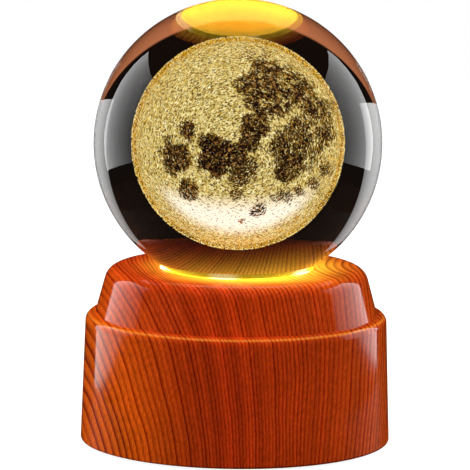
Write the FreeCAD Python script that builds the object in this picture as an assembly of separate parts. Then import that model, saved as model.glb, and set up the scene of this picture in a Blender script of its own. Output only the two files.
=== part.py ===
# Crystal ball night light.
#
# A solid glass ball with a laser-engraved moon in its middle rests on a turned, two-tier wooden base.
# It sits in a translucent seat ring that lines the light well. The base is hollow underneath: a warm LED
# module shines up the well into the ball, and a small board with a USB-C socket and a latching
# push switch looks out of a recessed panel at the back.
#
# Frame: millimetres, +Z up, origin on the table under the middle of the base, front towards -Y.

import FreeCAD
import Part
import math
import os

Vector = FreeCAD.Vector
UP = Vector(0, 0, 1)
REARWARD = Vector(0, 1, 0)

# Glass ball and the engraved moon inside it
ball_diameter = 60.0
moon_diameter = 29.5
moon_clearance = 0.05

# Turned wooden base
foot_diameter = 64.6
lower_tier_height = 26.8
lower_tier_taper = 0.9
ledge_width = 2.0
upper_tier_height = 9.6
upper_tier_taper = 2.6
foot_round = 0.5
ledge_round = 1.75
shoulder_round = 3.2
table_gap = 0.5

# Seat ring: a flange with the cone that the ball rests in, and a sleeve that lines the light well
light_well_diameter = 26.0
light_well_depth = 7.6
seat_width = 2.2
seat_clearance = 0.1
seat_ring_rim = 0.8
seat_flange_thickness = 2.0
seat_sleeve_wall = 1.2

# Hollow under the base
base_wall = 7.8
wood_fit = 0.15

# LED module, from the diffuser down
diffuser_ledge = 1.8
diffuser_thickness = 2.0
reflector_height = 4.0
reflector_wall = 1.8
module_clearance = 0.1
led_board_rim = 4.6
led_board_thickness = 1.6
led_count_on_ring = 12
led_margin = 0.9
led_length = 3.5
led_width = 2.8
led_height = 1.9
led_cup_diameter = 2.3
led_cup_depth = 0.3
led_resistor_size = (3.2, 1.6, 0.6)
led_resistor_radius = 10.0
led_screw_count = 3

# Bottom cover with its screws and rubber feet
cover_ledge = 4.5
cover_thickness = 2.0
cover_recess = 0.7
cover_screw_count = 3
cover_screw_inset = 2.9
rubber_foot_count = 4
rubber_foot_diameter = 8.0
rubber_foot_margin = 0.5
rubber_foot_inset = 0.4
rubber_foot_round = 0.5

# Self-tapping screws: shank, head and their holes
cover_screw_shank_diameter = 2.2
cover_screw_head_diameter = 4.2
cover_screw_length = 8.0
board_screw_shank_diameter = 1.8
board_screw_head_diameter = 3.6
board_screw_head_height = 1.3
board_screw_grip = 4.5
screw_clearance = 0.15
pilot_clearance = 0.03
drive_slot_width = 0.5
drive_slot_depth = 0.5
drive_slot_share = 0.6

# Recessed panel in the back of the base
panel_corner_round = 4.0
panel_thickness = 1.8
panel_inset = 0.2
panel_lip = 1.4
panel_edge_chamfer = 0.4
slot_corner_round = 1.5
window_clearance = 0.25

# Control board behind the panel, on two posts of the bottom cover
control_board_thickness = 1.2
control_board_gap = 0.4
control_board_side_margin = 1.1
control_board_front_margin = 7.0
boss_height = 4.1
boss_diameter = 4.6
boss_inset = 3.0
boss_from_front_edge = 3.2
control_chip_size = (4.0, 3.0, 1.3)
control_chip_place = (-5.5, 7.5)
control_resistor_size = (2.0, 1.2, 0.5)
control_resistor_place = (-9.0, 7.5)

# USB-C socket
socket_width = 8.94
socket_height = 3.26
socket_corner_round = 1.5
socket_length = 7.4
socket_wall = 0.3
socket_setback = 0.2
tongue_width = 6.7
tongue_thickness = 0.7
tongue_edge_round = 0.2
tongue_setback = 1.0
tongue_block_length = 2.0
socket_fit = 0.04

# Latching push switch and its button, beside the socket
socket_to_switch_gap = 2.8
button_travel = 1.5
button_diameter = 6.6
button_projection = 1.7
button_edge_round = 0.6
button_flange_width = 0.5
button_flange_thickness = 0.8
button_flange_gap = 0.25
switch_size = 8.0
switch_length = 7.5
plunger_size = 3.2
plunger_fit = 0.05
plunger_running_fit = 0.1
plunger_engagement = 1.6
plunger_depth_in_switch = 3.5
switch_front_gap = 0.3

# Leads from the control board up to the LED board
lead_diameter = 1.0
lead_spacing = 5.0
lead_from_front_edge = 2.0
lead_shift = 5.0
lead_bend_share = 0.45
lead_straight_share = 0.3

# A cut runs this far past the face that it opens
overcut = 1.0

# Wooden base, worked out
lower_tier_top_diameter = foot_diameter - 2 * lower_tier_taper
upper_tier_foot_diameter = lower_tier_top_diameter - 2 * ledge_width
upper_tier_top_diameter = upper_tier_foot_diameter - 2 * upper_tier_taper
base_bottom = table_gap
ledge_level = base_bottom + lower_tier_height
base_top = ledge_level + upper_tier_height
cavity_diameter = foot_diameter - 2 * base_wall
cover_diameter = cavity_diameter + 2 * cover_ledge
cover_bottom = base_bottom + cover_recess
cover_top = cover_bottom + cover_thickness
cover_screw_circle_diameter = cover_diameter - 2 * cover_screw_inset
rubber_foot_circle_diameter = cavity_diameter - rubber_foot_diameter - 2 * rubber_foot_margin

# Ball seat, a cone that touches the ball halfway up its width
ball_radius = ball_diameter / 2
seat_mouth_diameter = light_well_diameter + 2 * seat_width
seat_contact_radius = (light_well_diameter + seat_width) / 2
seat_contact_drop = math.sqrt(ball_radius**2 - seat_contact_radius**2)
seat_slope = seat_contact_radius / seat_contact_drop
seat_contact_level = base_top - seat_width / 2 * seat_slope
seat_foot_level = base_top - seat_width * seat_slope
seat_ring_diameter = seat_mouth_diameter + 2 * seat_ring_rim
seat_sleeve_diameter = light_well_diameter + 2 * seat_sleeve_wall
seat_flange_bottom = base_top - seat_flange_thickness
ball_centre = seat_contact_level + seat_contact_drop + seat_clearance * ball_radius / seat_contact_drop

# LED module, worked out
diffuser_diameter = light_well_diameter + 2 * diffuser_ledge
pocket_diameter = diffuser_diameter + 2 * module_clearance
pocket_top = seat_flange_bottom - light_well_depth
roof_level = pocket_top - module_clearance - diffuser_thickness - reflector_height
reflector_bore = diffuser_diameter - 2 * reflector_wall
led_ring_diameter = reflector_bore - led_length - 2 * led_margin
led_board_diameter = pocket_diameter + 2 * led_board_rim
led_board_bottom = roof_level - led_board_thickness
led_screw_circle_diameter = pocket_diameter + led_board_rim

# Row of socket and switch on the control board, and the panel round them
port_row_width = socket_width + socket_to_switch_gap + switch_size
socket_offset = (socket_width - port_row_width) / 2
button_offset = (port_row_width - switch_size) / 2
button_flange_diameter = button_diameter + 2 * button_flange_width
control_board_width = port_row_width + 2 * control_board_side_margin
control_board_bottom = cover_top + boss_height
control_board_top = control_board_bottom + control_board_thickness
socket_level = control_board_top + socket_height / 2
button_level = control_board_top + switch_size / 2
slot_bottom = min(control_board_bottom, button_level - button_flange_diameter / 2) - control_board_gap
switch_reach = max(switch_size, (switch_size + button_flange_diameter) / 2)
slot_top = control_board_top + switch_reach + control_board_gap
slot_height = slot_top - slot_bottom
slot_width = control_board_width + 2 * control_board_side_margin
panel_level = (slot_bottom + slot_top) / 2
panel_width = slot_width + 2 * panel_lip
panel_height = slot_height + 2 * panel_lip
wall_radius_at_panel = foot_diameter / 2 - lower_tier_taper * (panel_level - base_bottom) / lower_tier_height
panel_face = math.sqrt(wall_radius_at_panel**2 - (panel_width / 2 + wood_fit) ** 2) - panel_inset
panel_back = panel_face - panel_thickness
button_back = panel_back - button_flange_gap - button_flange_thickness
switch_front = button_back - button_travel - switch_front_gap
control_board_rear = panel_back - control_board_gap
control_board_front = switch_front - switch_length - control_board_front_margin
boss_spacing = control_board_width - 2 * boss_inset


# Shared shapes

def on_circle(diameter, count, first_angle):
    """Points spaced evenly round a circle about the Z axis, as (x, y) pairs."""
    angles = [math.radians(first_angle + 360 * i / count) for i in range(count)]
    return [(diameter / 2 * math.cos(a), diameter / 2 * math.sin(a)) for a in angles]


def rounded_face(corners):
    """Flat face in the XZ plane from (x, z, rounding) corners, each rounding made by a tangent arc."""
    points = [Vector(x, 0, z) for x, z, _ in corners]
    pieces = []
    for i, (_, _, rounding) in enumerate(corners):
        before = (points[i - 1] - points[i]).normalize()
        after = (points[(i + 1) % len(points)] - points[i]).normalize()
        half_angle = before.getAngle(after) / 2
        setback = rounding / math.tan(half_angle)
        middle = points[i] + (before + after).normalize() * (rounding / math.sin(half_angle) - rounding)
        pieces.append((points[i] + before * setback, middle, points[i] + after * setback))
    edges = []
    for i, (start, middle, finish) in enumerate(pieces):
        if corners[i][2] > 0:
            edges.append(Part.Arc(start, middle, finish).toShape())
        edges.append(Part.LineSegment(finish, pieces[(i + 1) % len(pieces)][0]).toShape())
    return Part.Face(Part.Wire(edges))


def turned(corners):
    """Solid turned about the Z axis from (radius, height, rounding) corners."""
    return rounded_face(corners).revolve(Vector(0, 0, 0), UP, 360)


def rounded_bar(width, height, rounding, centre_x, centre_z, rear, front):
    """Bar along Y with a rounded rectangular section, from y = front back to y = rear."""
    left, right = centre_x - width / 2, centre_x + width / 2
    low, high = centre_z - height / 2, centre_z + height / 2
    corners = [(left, low), (right, low), (right, high), (left, high)]
    face = rounded_face([(x, z, rounding) for x, z in corners])
    face.translate(Vector(0, front, 0))
    return face.extrude(REARWARD * (rear - front))


def rod(diameter, low, high, x=0.0, y=0.0):
    """Upright cylinder between two heights."""
    return Part.makeCylinder(diameter / 2, high - low, Vector(x, y, low))


def rear_rod(diameter, front, rear, x, z):
    """Cylinder along Y between two depths."""
    return Part.makeCylinder(diameter / 2, rear - front, Vector(x, front, z), REARWARD)


def block(size, centre_x, centre_y, low):
    """Box of (x, y, z) size standing on a level."""
    corner = Vector(centre_x - size[0] / 2, centre_y - size[1] / 2, low)
    return Part.makeBox(*size, corner)


def cross_slot(head_diameter, low):
    """Cross-shaped driver recess in a screw head, open at z = low and cut upwards."""
    reach = head_diameter * drive_slot_share
    bar = block((reach, drive_slot_width, drive_slot_depth), 0, 0, low)
    return bar.fuse(block((drive_slot_width, reach, drive_slot_depth), 0, 0, low))


def pan_head_screw(x, y, head_seat, upwards):
    """Small self-tapping screw whose head sits against head_seat and whose shank runs up or down."""
    head_bottom = -board_screw_head_height
    head = turned([
        (0, head_bottom, 0),
        (board_screw_head_diameter / 2, head_bottom, board_screw_head_height / 2),
        (board_screw_head_diameter / 2, 0, 0),
        (0, 0, 0),
    ])
    tip = board_screw_shank_diameter / 2
    shank = turned([
        (0, 0, 0),
        (board_screw_shank_diameter / 2, 0, 0),
        (board_screw_shank_diameter / 2, board_screw_grip - tip, 0),
        (0, board_screw_grip, 0),
    ])
    screw = head.fuse(shank).cut(cross_slot(board_screw_head_diameter, head_bottom))
    if not upwards:
        screw.rotate(Vector(0, 0, 0), Vector(1, 0, 0), 180)
    screw.translate(Vector(x, y, head_seat))
    return screw


# Glass ball

def crystal_ball():
    """Solid optical-glass ball. The engraved zone in its middle is left out, as its own node."""
    centre = Vector(0, 0, ball_centre)
    ball = Part.makeSphere(ball_radius, centre)
    return ball.cut(Part.makeSphere(moon_diameter / 2 + moon_clearance, centre))


def engraved_moon():
    """The globe of laser-made micro-cracks in the middle of the glass."""
    return Part.makeSphere(moon_diameter / 2, Vector(0, 0, ball_centre))


# Wooden base

def cover_screw_places():
    """Screws of the bottom cover, clear of the panel at the back."""
    return on_circle(cover_screw_circle_diameter, cover_screw_count, -90)


def led_screw_places():
    """Screws that hold the LED board to the roof of the hollow."""
    return on_circle(led_screw_circle_diameter, led_screw_count, -90)


def wooden_base():
    """Turned body: two tiers, bore for the seat ring, LED pocket, hollow and rear panel recess."""
    body = turned([
        (0, base_bottom, 0),
        (foot_diameter / 2, base_bottom, foot_round),
        (lower_tier_top_diameter / 2, ledge_level, ledge_round),
        (upper_tier_foot_diameter / 2, ledge_level, 0),
        (upper_tier_top_diameter / 2, base_top, shoulder_round),
        (0, base_top, 0),
    ])
    rebate_radius = seat_ring_diameter / 2 + wood_fit
    sleeve_bore_radius = seat_sleeve_diameter / 2 + wood_fit
    hollow = turned([
        (0, 0, 0),
        (cover_diameter / 2 + wood_fit, 0, 0),
        (cover_diameter / 2 + wood_fit, cover_top, 0),
        (cavity_diameter / 2, cover_top, 0),
        (cavity_diameter / 2, roof_level, 0),
        (pocket_diameter / 2, roof_level, 0),
        (pocket_diameter / 2, pocket_top, 0),
        (sleeve_bore_radius, pocket_top, 0),
        (sleeve_bore_radius, seat_flange_bottom, 0),
        (rebate_radius, seat_flange_bottom, 0),
        (rebate_radius, base_top + overcut, 0),
        (0, base_top + overcut, 0),
    ])
    recess = rounded_bar(
        panel_width + 2 * wood_fit, panel_height + 2 * wood_fit, panel_corner_round + wood_fit,
        0, panel_level, foot_diameter, panel_back,
    )
    slot = rounded_bar(
        slot_width, slot_height, slot_corner_round,
        0, panel_level, panel_face, control_board_front,
    )
    body = body.cut(hollow).cut(recess).cut(slot)
    pilot = cover_screw_shank_diameter + 2 * pilot_clearance
    for x, y in cover_screw_places():
        pilot_end = cover_bottom + cover_screw_length + pilot_clearance
        body = body.cut(rod(pilot, cover_top - overcut, pilot_end, x, y))
    pilot = board_screw_shank_diameter + 2 * pilot_clearance
    for x, y in led_screw_places():
        pilot_end = led_board_bottom + board_screw_grip + pilot_clearance
        body = body.cut(rod(pilot, roof_level - overcut, pilot_end, x, y))
    return body


def seat_ring():
    """Translucent liner of the light well: a sleeve, and a flange flush with the wood that holds the ball."""
    return turned([
        (light_well_diameter / 2, pocket_top, 0),
        (seat_sleeve_diameter / 2, pocket_top, 0),
        (seat_sleeve_diameter / 2, seat_flange_bottom, 0),
        (seat_ring_diameter / 2, seat_flange_bottom, 0),
        (seat_ring_diameter / 2, base_top, 0),
        (seat_mouth_diameter / 2, base_top, 0),
        (light_well_diameter / 2, seat_foot_level, 0),
    ])


# LED module under the light well

def light_diffuser():
    """Frosted disc that closes the light well from below."""
    top = pocket_top - module_clearance / 2
    return rod(diffuser_diameter, top - diffuser_thickness, top)


def reflector_ring():
    """White ring that holds the diffuser up off the LEDs."""
    outer = rod(diffuser_diameter, roof_level, roof_level + reflector_height)
    bore = rod(reflector_bore, roof_level - overcut, roof_level + reflector_height + overcut)
    return outer.cut(bore)


def led_board():
    """Round white board, screwed flat against the roof of the hollow."""
    board = rod(led_board_diameter, led_board_bottom, roof_level)
    hole = board_screw_shank_diameter + 2 * screw_clearance
    for x, y in led_screw_places():
        board = board.cut(rod(hole, led_board_bottom - overcut, roof_level + overcut, x, y))
    return board


def led_chips():
    """Warm white LEDs: one in the middle and a ring round it, each with a shallow phosphor cup."""
    places = [(0.0, 0.0, 0.0)]
    for i, (x, y) in enumerate(on_circle(led_ring_diameter, led_count_on_ring, 0)):
        places.append((x, y, 360 * i / led_count_on_ring))
    chips = []
    for x, y, angle in places:
        chip = block((led_length, led_width, led_height), 0, 0, roof_level)
        top = roof_level + led_height
        chip = chip.cut(rod(led_cup_diameter, top - led_cup_depth, top + overcut))
        chip.rotate(Vector(0, 0, 0), UP, angle)
        chip.translate(Vector(x, y, 0))
        chips.append(chip)
    return Part.makeCompound(chips)


def led_resistors():
    """Series resistors on the underside of the LED board."""
    low = led_board_bottom - led_resistor_size[2]
    return Part.makeCompound([block(led_resistor_size, s * led_resistor_radius, 0, low) for s in (-1, 1)])


def led_board_screws():
    """Pan-head screws up into the wooden roof."""
    return Part.makeCompound([pan_head_screw(x, y, led_board_bottom, True) for x, y in led_screw_places()])


# Bottom cover

def boss_places():
    """The two posts that carry the control board."""
    y = control_board_front + boss_from_front_edge
    return [(-boss_spacing / 2, y), (boss_spacing / 2, y)]


def rubber_foot_places():
    """Feet, on the diagonals."""
    return on_circle(rubber_foot_circle_diameter, rubber_foot_count, 180 / rubber_foot_count)


def countersink(x, y, extra):
    """Cone and shank space of a countersunk cover screw, grown all round by extra."""
    head = cover_screw_head_diameter / 2 + extra
    shank = cover_screw_shank_diameter / 2 + extra
    head_depth = (cover_screw_head_diameter - cover_screw_shank_diameter) / 2
    end = cover_bottom + cover_screw_length
    space = turned([
        (0, cover_bottom, 0),
        (head, cover_bottom, 0),
        (shank, cover_bottom + head_depth, 0),
        (shank, end - shank, 0),
        (0, end, 0),
    ])
    space.translate(Vector(x, y, 0))
    return space


def bottom_cover():
    """Moulded disc that closes the hollow, with foot recesses and two board posts."""
    cover = rod(cover_diameter, cover_bottom, cover_top)
    pilot = board_screw_shank_diameter + 2 * pilot_clearance
    for x, y in boss_places():
        cover = cover.fuse(rod(boss_diameter, cover_top, control_board_bottom, x, y))
    for x, y in boss_places():
        pilot_end = control_board_top - board_screw_grip - pilot_clearance
        cover = cover.cut(rod(pilot, pilot_end, control_board_bottom + overcut, x, y))
    for x, y in rubber_foot_places():
        recess = rubber_foot_diameter + 2 * wood_fit
        cover = cover.cut(rod(recess, cover_bottom - overcut, cover_bottom + rubber_foot_inset, x, y))
    for x, y in cover_screw_places():
        cover = cover.cut(countersink(x, y, screw_clearance))
    return cover


def bottom_cover_screws():
    """Countersunk screws up into the wood."""
    screws = []
    drive = cross_slot(cover_screw_head_diameter, cover_bottom)
    for x, y in cover_screw_places():
        recess = drive.copy()
        recess.translate(Vector(x, y, 0))
        screws.append(countersink(x, y, 0).cut(recess))
    return Part.makeCompound(screws)


def rubber_feet():
    """Soft feet, let into the cover so that only the table gap shows."""
    feet = []
    for x, y in rubber_foot_places():
        foot = turned([
            (0, 0, 0),
            (rubber_foot_diameter / 2, 0, rubber_foot_round),
            (rubber_foot_diameter / 2, cover_bottom + rubber_foot_inset, 0),
            (0, cover_bottom + rubber_foot_inset, 0),
        ])
        foot.translate(Vector(x, y, 0))
        feet.append(foot)
    return Part.makeCompound(feet)


# Rear panel, control board, socket and switch

def rear_panel():
    """Recessed panel with a window for the socket and a hole for the button."""
    panel = rounded_bar(panel_width, panel_height, panel_corner_round, 0, panel_level, panel_face, panel_back)
    front_edges = [e for e in panel.Edges if e.BoundBox.YMin > panel_face - panel_edge_chamfer / 2]
    panel = panel.makeChamfer(panel_edge_chamfer, front_edges)
    window = rounded_bar(
        socket_width + 2 * window_clearance, socket_height + 2 * window_clearance,
        socket_corner_round + window_clearance, socket_offset, socket_level,
        panel_face + overcut, panel_back - overcut,
    )
    hole_diameter = button_diameter + 2 * window_clearance
    hole = rear_rod(hole_diameter, panel_back - overcut, panel_face + overcut, button_offset, button_level)
    return panel.cut(window).cut(hole)


def control_board():
    """Small board on two posts, reaching into the slot behind the panel and notched round the button."""
    middle = (control_board_front + control_board_rear) / 2
    size = (control_board_width, control_board_rear - control_board_front, control_board_thickness)
    board = block(size, 0, middle, control_board_bottom)
    notch_left = button_offset - button_flange_diameter / 2 - control_board_gap
    notch = Part.makeBox(
        control_board_width, control_board_rear - switch_front + overcut, control_board_thickness,
        Vector(notch_left, switch_front, control_board_bottom),
    )
    board = board.cut(notch)
    hole = board_screw_shank_diameter + 2 * screw_clearance
    for x, y in boss_places():
        board = board.cut(rod(hole, control_board_bottom - overcut, control_board_top + overcut, x, y))
    return board


def control_board_screws():
    """Pan-head screws down into the posts."""
    return Part.makeCompound([pan_head_screw(x, y, control_board_top, False) for x, y in boss_places()])


def control_chips():
    """Regulator chip and resistor on the control board."""
    chip_x, chip_y = control_chip_place
    resistor_x, resistor_y = control_resistor_place
    chip = block(control_chip_size, chip_x, control_board_front + chip_y, control_board_top)
    resistor = block(control_resistor_size, resistor_x, control_board_front + resistor_y, control_board_top)
    return Part.makeCompound([chip, resistor])


def socket_mouth():
    """Depth of the socket's open end, just inside the panel's face."""
    return panel_face - socket_setback


def usb_socket_shell():
    """Rolled steel shell, open to the rear of the lamp and closed at its inner end."""
    mouth = socket_mouth()
    back = mouth - socket_length
    shell = rounded_bar(
        socket_width, socket_height, socket_corner_round, socket_offset, socket_level, mouth, back,
    )
    inside = rounded_bar(
        socket_width - 2 * socket_wall, socket_height - 2 * socket_wall, socket_corner_round - socket_wall,
        socket_offset, socket_level, mouth + overcut, back + socket_wall,
    )
    return shell.cut(inside)


def usb_socket_tongue():
    """Moulded insert: a block in the shell's inner end and the flat tongue that the plug goes over."""
    mouth = socket_mouth()
    back = mouth - socket_length + socket_wall + socket_fit
    margin = 2 * (socket_wall + socket_fit)
    insert = rounded_bar(
        socket_width - margin, socket_height - margin, socket_corner_round - margin / 2,
        socket_offset, socket_level, back + tongue_block_length, back,
    )
    tongue = rounded_bar(
        tongue_width, tongue_thickness, tongue_edge_round, socket_offset, socket_level,
        mouth - tongue_setback, back + tongue_block_length / 2,
    )
    return insert.fuse(tongue)


def switch_body():
    """Square switch housing with the bore that the plunger slides in."""
    size = (switch_size, switch_length, switch_size)
    body = block(size, button_offset, switch_front - switch_length / 2, control_board_top)
    bore_size = plunger_size + 2 * plunger_running_fit
    bore_end = switch_front - plunger_depth_in_switch - button_travel - plunger_running_fit
    bore = Part.makeBox(
        bore_size, switch_front + overcut - bore_end, bore_size,
        Vector(button_offset - bore_size / 2, bore_end, button_level - bore_size / 2),
    )
    return body.cut(bore)


def plunger_end():
    """Depth of the plunger's outer end, inside the button's socket."""
    return button_back + plunger_engagement


def switch_plunger():
    """Square plunger that the button is pushed onto."""
    inner = switch_front - plunger_depth_in_switch
    return Part.makeBox(
        plunger_size, plunger_end() - inner, plunger_size,
        Vector(button_offset - plunger_size / 2, inner, button_level - plunger_size / 2),
    )


def button_cap():
    """Round button with a rim that keeps it behind the panel and a square socket for the plunger."""
    face = panel_face + button_projection
    cap = turned([
        (0, button_back, 0),
        (button_flange_diameter / 2, button_back, 0),
        (button_flange_diameter / 2, button_back + button_flange_thickness, 0),
        (button_diameter / 2, button_back + button_flange_thickness, 0),
        (button_diameter / 2, face, button_edge_round),
        (0, face, 0),
    ])
    cap.rotate(Vector(0, 0, 0), Vector(1, 0, 0), -90)
    cap.translate(Vector(button_offset, 0, button_level))
    socket_size = plunger_size + 2 * plunger_fit
    socket = Part.makeBox(
        socket_size, plunger_end() + plunger_fit - button_back + overcut, socket_size,
        Vector(button_offset - socket_size / 2, button_back - overcut, button_level - socket_size / 2),
    )
    return cap.cut(socket)


# Leads

def lead(side):
    """Insulated lead from the control board up to the LED board: straight runs joined by tangent arcs."""
    x = side * lead_spacing / 2
    start_y = control_board_front + lead_from_front_edge
    low, high = control_board_top, led_board_bottom
    straight = (high - low) * lead_straight_share
    route = [
        Vector(x, start_y, low),
        Vector(x, start_y, low + straight),
        Vector(x, start_y - lead_shift, high - straight),
        Vector(x, start_y - lead_shift, high),
    ]
    edges = []
    run_start = route[0]
    for before, corner, after in zip(route, route[1:], route[2:]):
        back = before - corner
        onward = after - corner
        setback = lead_bend_share * min(back.Length, onward.Length)
        half_angle = back.getAngle(onward) / 2
        radius = setback * math.tan(half_angle)
        bisector = (back.normalize() + onward.normalize()).normalize()
        start, finish = corner + back * setback, corner + onward * setback
        middle = corner + bisector * (radius / math.sin(half_angle) - radius)
        edges.append(Part.LineSegment(run_start, start).toShape())
        edges.append(Part.Arc(start, middle, finish).toShape())
        print(f"lead bend radius {radius:.2f}")
        run_start = finish
    edges.append(Part.LineSegment(run_start, route[-1]).toShape())
    path = Part.Wire(edges)
    section = Part.Wire(Part.makeCircle(lead_diameter / 2, route[0], UP))
    tube = path.makePipeShell([section], True, False)
    expected = math.pi * lead_diameter**2 / 4 * path.Length
    print(f"lead volume {tube.Volume:.3f}, section times length {expected:.3f}")
    return tube


def lead_red():
    """Positive lead."""
    return lead(1)


def lead_black():
    """Negative lead."""
    return lead(-1)


NODES = [
    crystal_ball, engraved_moon, wooden_base, seat_ring,
    light_diffuser, reflector_ring, led_board, led_chips, led_resistors, led_board_screws,
    bottom_cover, bottom_cover_screws, rubber_feet,
    rear_panel, control_board, control_board_screws, control_chips,
    usb_socket_shell, usb_socket_tongue, switch_body, switch_plunger, button_cap,
    lead_red, lead_black,
]


def main():
    os.makedirs("parts", exist_ok=True)
    for node in NODES:
        shape = node()
        shape.exportStep(f"parts/{node.__name__}.step")
        print(f"{node.__name__}: {len(shape.Solids)} solid, valid {shape.isValid()}, {shape.Volume:.1f} mm3")


main()
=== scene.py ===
# %% [markdown]
# # Crystal ball night light
# The real lamp is a solid glass ball with a moon engraved inside it by a laser. It rests on a turned,
# red-stained wooden base that hides warm LEDs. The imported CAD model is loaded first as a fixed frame: it
# already has every piece in its real place and size, in metres. This script gives each piece its finish
# and rebuilds the two pieces whose looks a plain solid can't carry, the glass and the engraving.

import math

import bmesh
import bpy
import numpy as np
from mathutils import Matrix, Vector, noise


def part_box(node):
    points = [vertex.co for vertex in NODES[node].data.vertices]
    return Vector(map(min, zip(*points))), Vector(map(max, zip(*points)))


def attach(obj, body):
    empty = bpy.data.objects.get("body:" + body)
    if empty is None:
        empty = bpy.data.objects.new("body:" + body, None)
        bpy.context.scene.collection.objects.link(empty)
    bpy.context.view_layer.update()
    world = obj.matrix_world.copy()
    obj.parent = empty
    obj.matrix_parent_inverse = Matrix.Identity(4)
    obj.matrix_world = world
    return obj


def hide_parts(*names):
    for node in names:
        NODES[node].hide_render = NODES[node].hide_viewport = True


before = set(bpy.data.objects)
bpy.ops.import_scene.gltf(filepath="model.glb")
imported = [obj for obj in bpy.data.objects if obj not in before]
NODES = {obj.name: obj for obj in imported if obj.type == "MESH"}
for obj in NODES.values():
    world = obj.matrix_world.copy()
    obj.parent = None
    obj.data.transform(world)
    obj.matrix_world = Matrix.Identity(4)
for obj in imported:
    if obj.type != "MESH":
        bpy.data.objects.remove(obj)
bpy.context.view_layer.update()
MM = 0.001
scene = bpy.context.scene
scene.view_settings.view_transform = "Standard"

# %% [markdown]
# ## Helpers
# Colours are written as the sRGB hex values that a paint program shows, and one function turns them into
# the linear numbers that Blender computes with. Every shader below is drawn with one small function that
# adds a node and fills its inputs, either with a value or with a link from an earlier node.

# %% Colour and node helpers
def linear(hex_colour):
    """sRGB hex to linear RGBA."""
    channels = [int(hex_colour[i:i + 2], 16) / 255 for i in (1, 3, 5)]
    return [c / 12.92 if c <= 0.04045 else ((c + 0.055) / 1.055) ** 2.4 for c in channels] + [1.0]


def add(tree, kind, inputs=None, stops=None, **settings):
    """Adds a node with its settings, colour stops, and inputs given as values or as links."""
    node = tree.nodes.new("ShaderNode" + kind)
    for name, value in settings.items():
        setattr(node, name, value)
    for i, (position, colour) in enumerate(stops or []):
        element = node.color_ramp.elements[i] if i < 2 else node.color_ramp.elements.new(position)
        element.position = position
        element.color = linear(colour)
    for name, value in (inputs or {}).items():
        if isinstance(value, bpy.types.NodeSocket):
            tree.links.new(value, node.inputs[name])
        else:
            node.inputs[name].default_value = value
    return node


def new_material(name):
    """A material with its node tree, its main shader and a place in millimetres to hang patterns on."""
    material = bpy.data.materials.new(name)
    material.use_nodes = True
    tree = material.node_tree
    metres = add(tree, "TexCoord").outputs["Object"]
    place = add(tree, "VectorMath", {0: metres, "Scale": 1 / MM}, operation="SCALE").outputs[0]
    return material, tree, tree.nodes["Principled BSDF"], place


def dress(material, *names):
    """Puts a material on CAD nodes."""
    for name in names:
        for slot in NODES[name].material_slots:
            slot.material = material
    print(material.name, "on", ", ".join(names))


# %% [markdown]
# ## Camera
# The photograph was taken from a little above, with a long lens, and leans by a little over half a
# degree. These values make the outlines of ball and base in the render fall on those in the photograph.
# The lens is worked out from the picture's width and its scale at the lamp.

# %% Camera
picture_pixels = 470
pixels_per_mm = 4.8
picture_width_mm = picture_pixels / pixels_per_mm
view_elevation = math.radians(9.13)
view_lean = math.radians(0.63)
view_distance = 1000 * MM
view_target = Vector((0, 0, 43.57 * MM))
view_sidestep = -0.4 * MM

forward = Vector((0, math.cos(view_elevation), -math.sin(view_elevation)))
level_right = Vector((1, 0, 0))
level_up = level_right.cross(forward)
view_right = level_right * math.cos(view_lean) + level_up * math.sin(view_lean)
view_up = level_up * math.cos(view_lean) - level_right * math.sin(view_lean)

camera_data = bpy.data.cameras.new("photo_camera")
camera_data.sensor_width = 36
camera_data.lens = camera_data.sensor_width * view_distance / (picture_width_mm * MM)
camera = bpy.data.objects.new("photo_camera", camera_data)
scene.collection.objects.link(camera)
camera.matrix_world = (
    Matrix.Translation(view_target - forward * view_distance + view_right * view_sidestep)
    @ Matrix((view_right, view_up, -forward)).transposed().to_4x4()
)
scene.camera = camera
print(f"lens {camera_data.lens:.0f} mm")

# %% [markdown]
# ## Floor
# The photograph is cut out on white, yet its glass and lacquer show the dark studio in which it was taken. A
# ray that comes straight from the camera therefore finds a white floor, which keeps a soft shadow. A ray that
# has passed through the glass finds a matt dark table with a brown patch round the lamp, which is painted
# warm light on the table. A ray that lacquer mirrors finds the table polished. Beyond the table's edges the
# floor lets mirrored rays through, because the softboxes that lacquer shows reach below it. Light Path tells
# these rays apart.

# %% Floor
floor_size = 1.2
floor_shadow_share = 0.3
floor_lift = 0.92
paper_fibre_mm = 3.0
# Painted pool of warm light on the table round the lamp, seen through the glass:
painted_pool_brown = "#9A5C3C"
painted_pool_middle_mm = (0, 0, 0)
painted_pool_half_mm = (180, 74, 1)
table_dark = "#0C0705"
table_middle_mm = (0, -100, 0)
table_half_mm = (90, 200, 1)
edge_softness = 0.05

half = floor_size / 2
floor_corners = [(-half, -half, 0), (half, -half, 0), (half, half, 0), (-half, half, 0)]
floor_mesh = bpy.data.meshes.new("floor")
floor_mesh.from_pydata(floor_corners, [], [(0, 1, 2, 3)])
floor = bpy.data.objects.new("floor", floor_mesh)
scene.collection.objects.link(floor)

# Matt paper to the camera, and a dark table top to the rays that come through glass or off lacquer. Through
# the glass the table also shows painted warm light round the lamp.
paper, tree, shader, place = new_material("White seamless paper over a polished table")
rays = add(tree, "LightPath").outputs
fibres = add(tree, "TexNoise", {"Vector": place, "Scale": 1 / paper_fibre_mm, "Detail": 3.0}).outputs["Fac"]
bounce_tone = add(tree, "ValToRGB", {"Fac": fibres}, [(0.3, "#8E8A84"), (0.7, "#98948E")]).outputs["Color"]
tone = add(tree, "Mix", {
    "Factor": rays["Is Camera Ray"], "A": bounce_tone, "B": [floor_shadow_share] * 3 + [1.0],
}, data_type="RGBA").outputs["Result"]
lift = add(tree, "Math", {0: rays["Is Camera Ray"], 1: floor_lift}, operation="MULTIPLY").outputs[0]
tree.links.new(tone, shader.inputs["Base Color"])
tree.links.new(lift, shader.inputs["Emission Strength"])
shader.inputs["Emission Color"].default_value = linear("#FFFFFF")
shader.inputs["Roughness"].default_value = 0.9
shader.inputs["Specular IOR Level"].default_value = 0.0


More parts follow.
